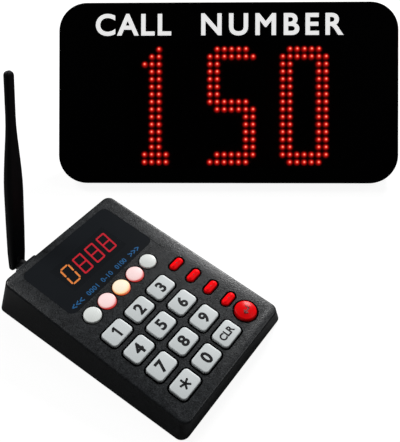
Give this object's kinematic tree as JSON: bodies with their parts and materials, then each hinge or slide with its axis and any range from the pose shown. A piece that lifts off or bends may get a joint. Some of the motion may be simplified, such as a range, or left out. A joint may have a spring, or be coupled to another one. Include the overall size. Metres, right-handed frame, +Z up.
{
  "type": "queue keypad and number board",
  "caption": "Wedge desk keypad with grey keys, round and oval buttons, digit window and folding paddle antenna, beside a reclined dark number board with round red lamps on a fold-out leg.",
  "frame": {"origin": "middle of the whole footprint, on the surface that both devices stand on", "axes": "+X right along the number board's lower edge, +Y away from the reader, from the keypad to the board, +Z up"},
  "size_m": [0.3154, 0.3554, 0.1626],
  "materials": {
    "case_black": "fine moulded texture",
    "window_smoke": "smooth smoked",
    "key_grey": "satin",
    "cap_red": "smooth",
    "cap_lit": "smooth translucent",
    "cap_white": "smooth",
    "circuit": "satin lacquer",
    "component": "satin",
    "can": "satin",
    "steel": "satin",
    "brass": "satin",
    "rubber": "matt",
    "lamp_lit": "lit, translucent",
    "lamp_dark": "unlit, translucent",
    "digit_amber": "lit segments",
    "digit_red": "lit segments"
  },
  "bodies": {
    "base": {"amber_digit_module": "digit_amber", "antenna_jack": "brass", "beeper": "component", "board_screws": "steel", "button_lamps": "lamp_lit", "button_switches": "component", "case_screws": "steel", "control_board": "circuit", "control_board_screws": "steel", "dark_dots": "lamp_dark", "display_case": "case_black", "display_feet": "rubber", "display_power_jack": "component", "display_window": "window_smoke", "dot_board": "circuit", "dot_board_screws": "steel", "jack_nut": "steel", "keypad_bottom_case": "case_black", "keypad_feet": "rubber", "keypad_power_jack": "component", "keypad_top_case": "case_black", "keypad_window": "window_smoke", "lit_dots": "lamp_lit", "main_board": "circuit", "radio_module": "can", "receiver_module": "can", "red_digit_modules": "digit_red", "stand_hinge_pin": "steel"},
    "antenna_turn": {"antenna_knuckle": "case_black"},
    "antenna": {"antenna_whip": "case_black", "antenna_hinge_pin": "steel"},
    "leg": {"stand_leg": "case_black", "stand_tip": "rubber"},
    "key_star_body": {"key_star": "key_grey"},
    "key_0_body": {"key_0": "key_grey"},
    "key_clear_body": {"key_clear": "key_grey"},
    "key_7_body": {"key_7": "key_grey"},
    "key_8_body": {"key_8": "key_grey"},
    "key_9_body": {"key_9": "key_grey"},
    "key_4_body": {"key_4": "key_grey"},
    "key_5_body": {"key_5": "key_grey"},
    "key_6_body": {"key_6": "key_grey"},
    "key_1_body": {"key_1": "key_grey"},
    "key_2_body": {"key_2": "key_grey"},
    "key_3_body": {"key_3": "key_grey"},
    "function_button_1_body": {"function_button_1": "cap_white"},
    "function_button_2_body": {"function_button_2": "cap_lit"},
    "function_button_3_body": {"function_button_3": "cap_lit"},
    "function_button_4_body": {"function_button_4": "cap_lit"},
    "function_button_5_body": {"function_button_5": "cap_white"},
    "oval_button_1_body": {"oval_button_1": "cap_red"},
    "oval_button_2_body": {"oval_button_2": "cap_red"},
    "oval_button_3_body": {"oval_button_3": "cap_red"},
    "oval_button_4_body": {"oval_button_4": "cap_red"},
    "enter_button_body": {"enter_button": "cap_red"}
  },
  "joints": [
    {"name": "key_star_press", "type": "slide", "parent": "base", "child": "key_star_body", "axis": [-0.1046, 0.0748, -0.9917], "range_m": [0, 0.0012], "stiffness_N_per_m": 300, "springref_m": -0.001},
    {"name": "key_0_press", "type": "slide", "parent": "base", "child": "key_0_body", "axis": [-0.1046, 0.0748, -0.9917], "range_m": [0, 0.0012], "stiffness_N_per_m": 300, "springref_m": -0.001},
    {"name": "key_clear_press", "type": "slide", "parent": "base", "child": "key_clear_body", "axis": [-0.1046, 0.0748, -0.9917], "range_m": [0, 0.0012], "stiffness_N_per_m": 300, "springref_m": -0.001},
    {"name": "key_7_press", "type": "slide", "parent": "base", "child": "key_7_body", "axis": [-0.1046, 0.0748, -0.9917], "range_m": [0, 0.0012], "stiffness_N_per_m": 300, "springref_m": -0.001},
    {"name": "key_8_press", "type": "slide", "parent": "base", "child": "key_8_body", "axis": [-0.1046, 0.0748, -0.9917], "range_m": [0, 0.0012], "stiffness_N_per_m": 300, "springref_m": -0.001},
    {"name": "key_9_press", "type": "slide", "parent": "base", "child": "key_9_body", "axis": [-0.1046, 0.0748, -0.9917], "range_m": [0, 0.0012], "stiffness_N_per_m": 300, "springref_m": -0.001},
    {"name": "key_4_press", "type": "slide", "parent": "base", "child": "key_4_body", "axis": [-0.1046, 0.0748, -0.9917], "range_m": [0, 0.0012], "stiffness_N_per_m": 300, "springref_m": -0.001},
    {"name": "key_5_press", "type": "slide", "parent": "base", "child": "key_5_body", "axis": [-0.1046, 0.0748, -0.9917], "range_m": [0, 0.0012], "stiffness_N_per_m": 300, "springref_m": -0.001},
    {"name": "key_6_press", "type": "slide", "parent": "base", "child": "key_6_body", "axis": [-0.1046, 0.0748, -0.9917], "range_m": [0, 0.0012], "stiffness_N_per_m": 300, "springref_m": -0.001},
    {"name": "key_1_press", "type": "slide", "parent": "base", "child": "key_1_body", "axis": [-0.1046, 0.0748, -0.9917], "range_m": [0, 0.0012], "stiffness_N_per_m": 300, "springref_m": -0.001},
    {"name": "key_2_press", "type": "slide", "parent": "base", "child": "key_2_body", "axis": [-0.1046, 0.0748, -0.9917], "range_m": [0, 0.0012], "stiffness_N_per_m": 300, "springref_m": -0.001},
    {"name": "key_3_press", "type": "slide", "parent": "base", "child": "key_3_body", "axis": [-0.1046, 0.0748, -0.9917], "range_m": [0, 0.0012], "stiffness_N_per_m": 300, "springref_m": -0.001},
    {"name": "function_button_1_press", "type": "slide", "parent": "base", "child": "function_button_1_body", "axis": [-0.1046, 0.0748, -0.9917], "range_m": [0, 0.0012], "stiffness_N_per_m": 300, "springref_m": -0.001},
    {"name": "function_button_2_press", "type": "slide", "parent": "base", "child": "function_button_2_body", "axis": [-0.1046, 0.0748, -0.9917], "range_m": [0, 0.0012], "stiffness_N_per_m": 300, "springref_m": -0.001},
    {"name": "function_button_3_press", "type": "slide", "parent": "base", "child": "function_button_3_body", "axis": [-0.1046, 0.0748, -0.9917], "range_m": [0, 0.0012], "stiffness_N_per_m": 300, "springref_m": -0.001},
    {"name": "function_button_4_press", "type": "slide", "parent": "base", "child": "function_button_4_body", "axis": [-0.1046, 0.0748, -0.9917], "range_m": [0, 0.0012], "stiffness_N_per_m": 300, "springref_m": -0.001},
    {"name": "function_button_5_press", "type": "slide", "parent": "base", "child": "function_button_5_body", "axis": [-0.1046, 0.0748, -0.9917], "range_m": [0, 0.0012], "stiffness_N_per_m": 300, "springref_m": -0.001},
    {"name": "oval_button_1_press", "type": "slide", "parent": "base", "child": "oval_button_1_body", "axis": [-0.1046, 0.0748, -0.9917], "range_m": [0, 0.0012], "stiffness_N_per_m": 300, "springref_m": -0.001},
    {"name": "oval_button_2_press", "type": "slide", "parent": "base", "child": "oval_button_2_body", "axis": [-0.1046, 0.0748, -0.9917], "range_m": [0, 0.0012], "stiffness_N_per_m": 300, "springref_m": -0.001},
    {"name": "oval_button_3_press", "type": "slide", "parent": "base", "child": "oval_button_3_body", "axis": [-0.1046, 0.0748, -0.9917], "range_m": [0, 0.0012], "stiffness_N_per_m": 300, "springref_m": -0.001},
    {"name": "oval_button_4_press", "type": "slide", "parent": "base", "child": "oval_button_4_body", "axis": [-0.1046, 0.0748, -0.9917], "range_m": [0, 0.0012], "stiffness_N_per_m": 300, "springref_m": -0.001},
    {"name": "enter_button_press", "type": "slide", "parent": "base", "child": "enter_button_body", "axis": [-0.1046, 0.0748, -0.9917], "range_m": [0, 0.0012], "stiffness_N_per_m": 300, "springref_m": -0.001},
    {"name": "antenna_swivel", "type": "hinge", "parent": "base", "child": "antenna_turn", "pos_m": [-0.14866, -0.05172, 0.0192], "axis": [-0.8136, 0.5814, 0], "range_deg": [-105, 60]},
    {"name": "antenna_fold", "type": "hinge", "parent": "antenna_turn", "child": "antenna", "pos_m": [-0.14866, -0.05172, 0.0192], "axis": [-0.5616, -0.7859, 0.2588], "range_deg": [0, 90]},
    {"name": "leg_fold", "type": "hinge", "parent": "base", "child": "leg", "pos_m": [0.01008, 0.15016, 0.06284], "axis": [-1, 0, 0], "range_deg": [0, 59.9]}
  ]
}
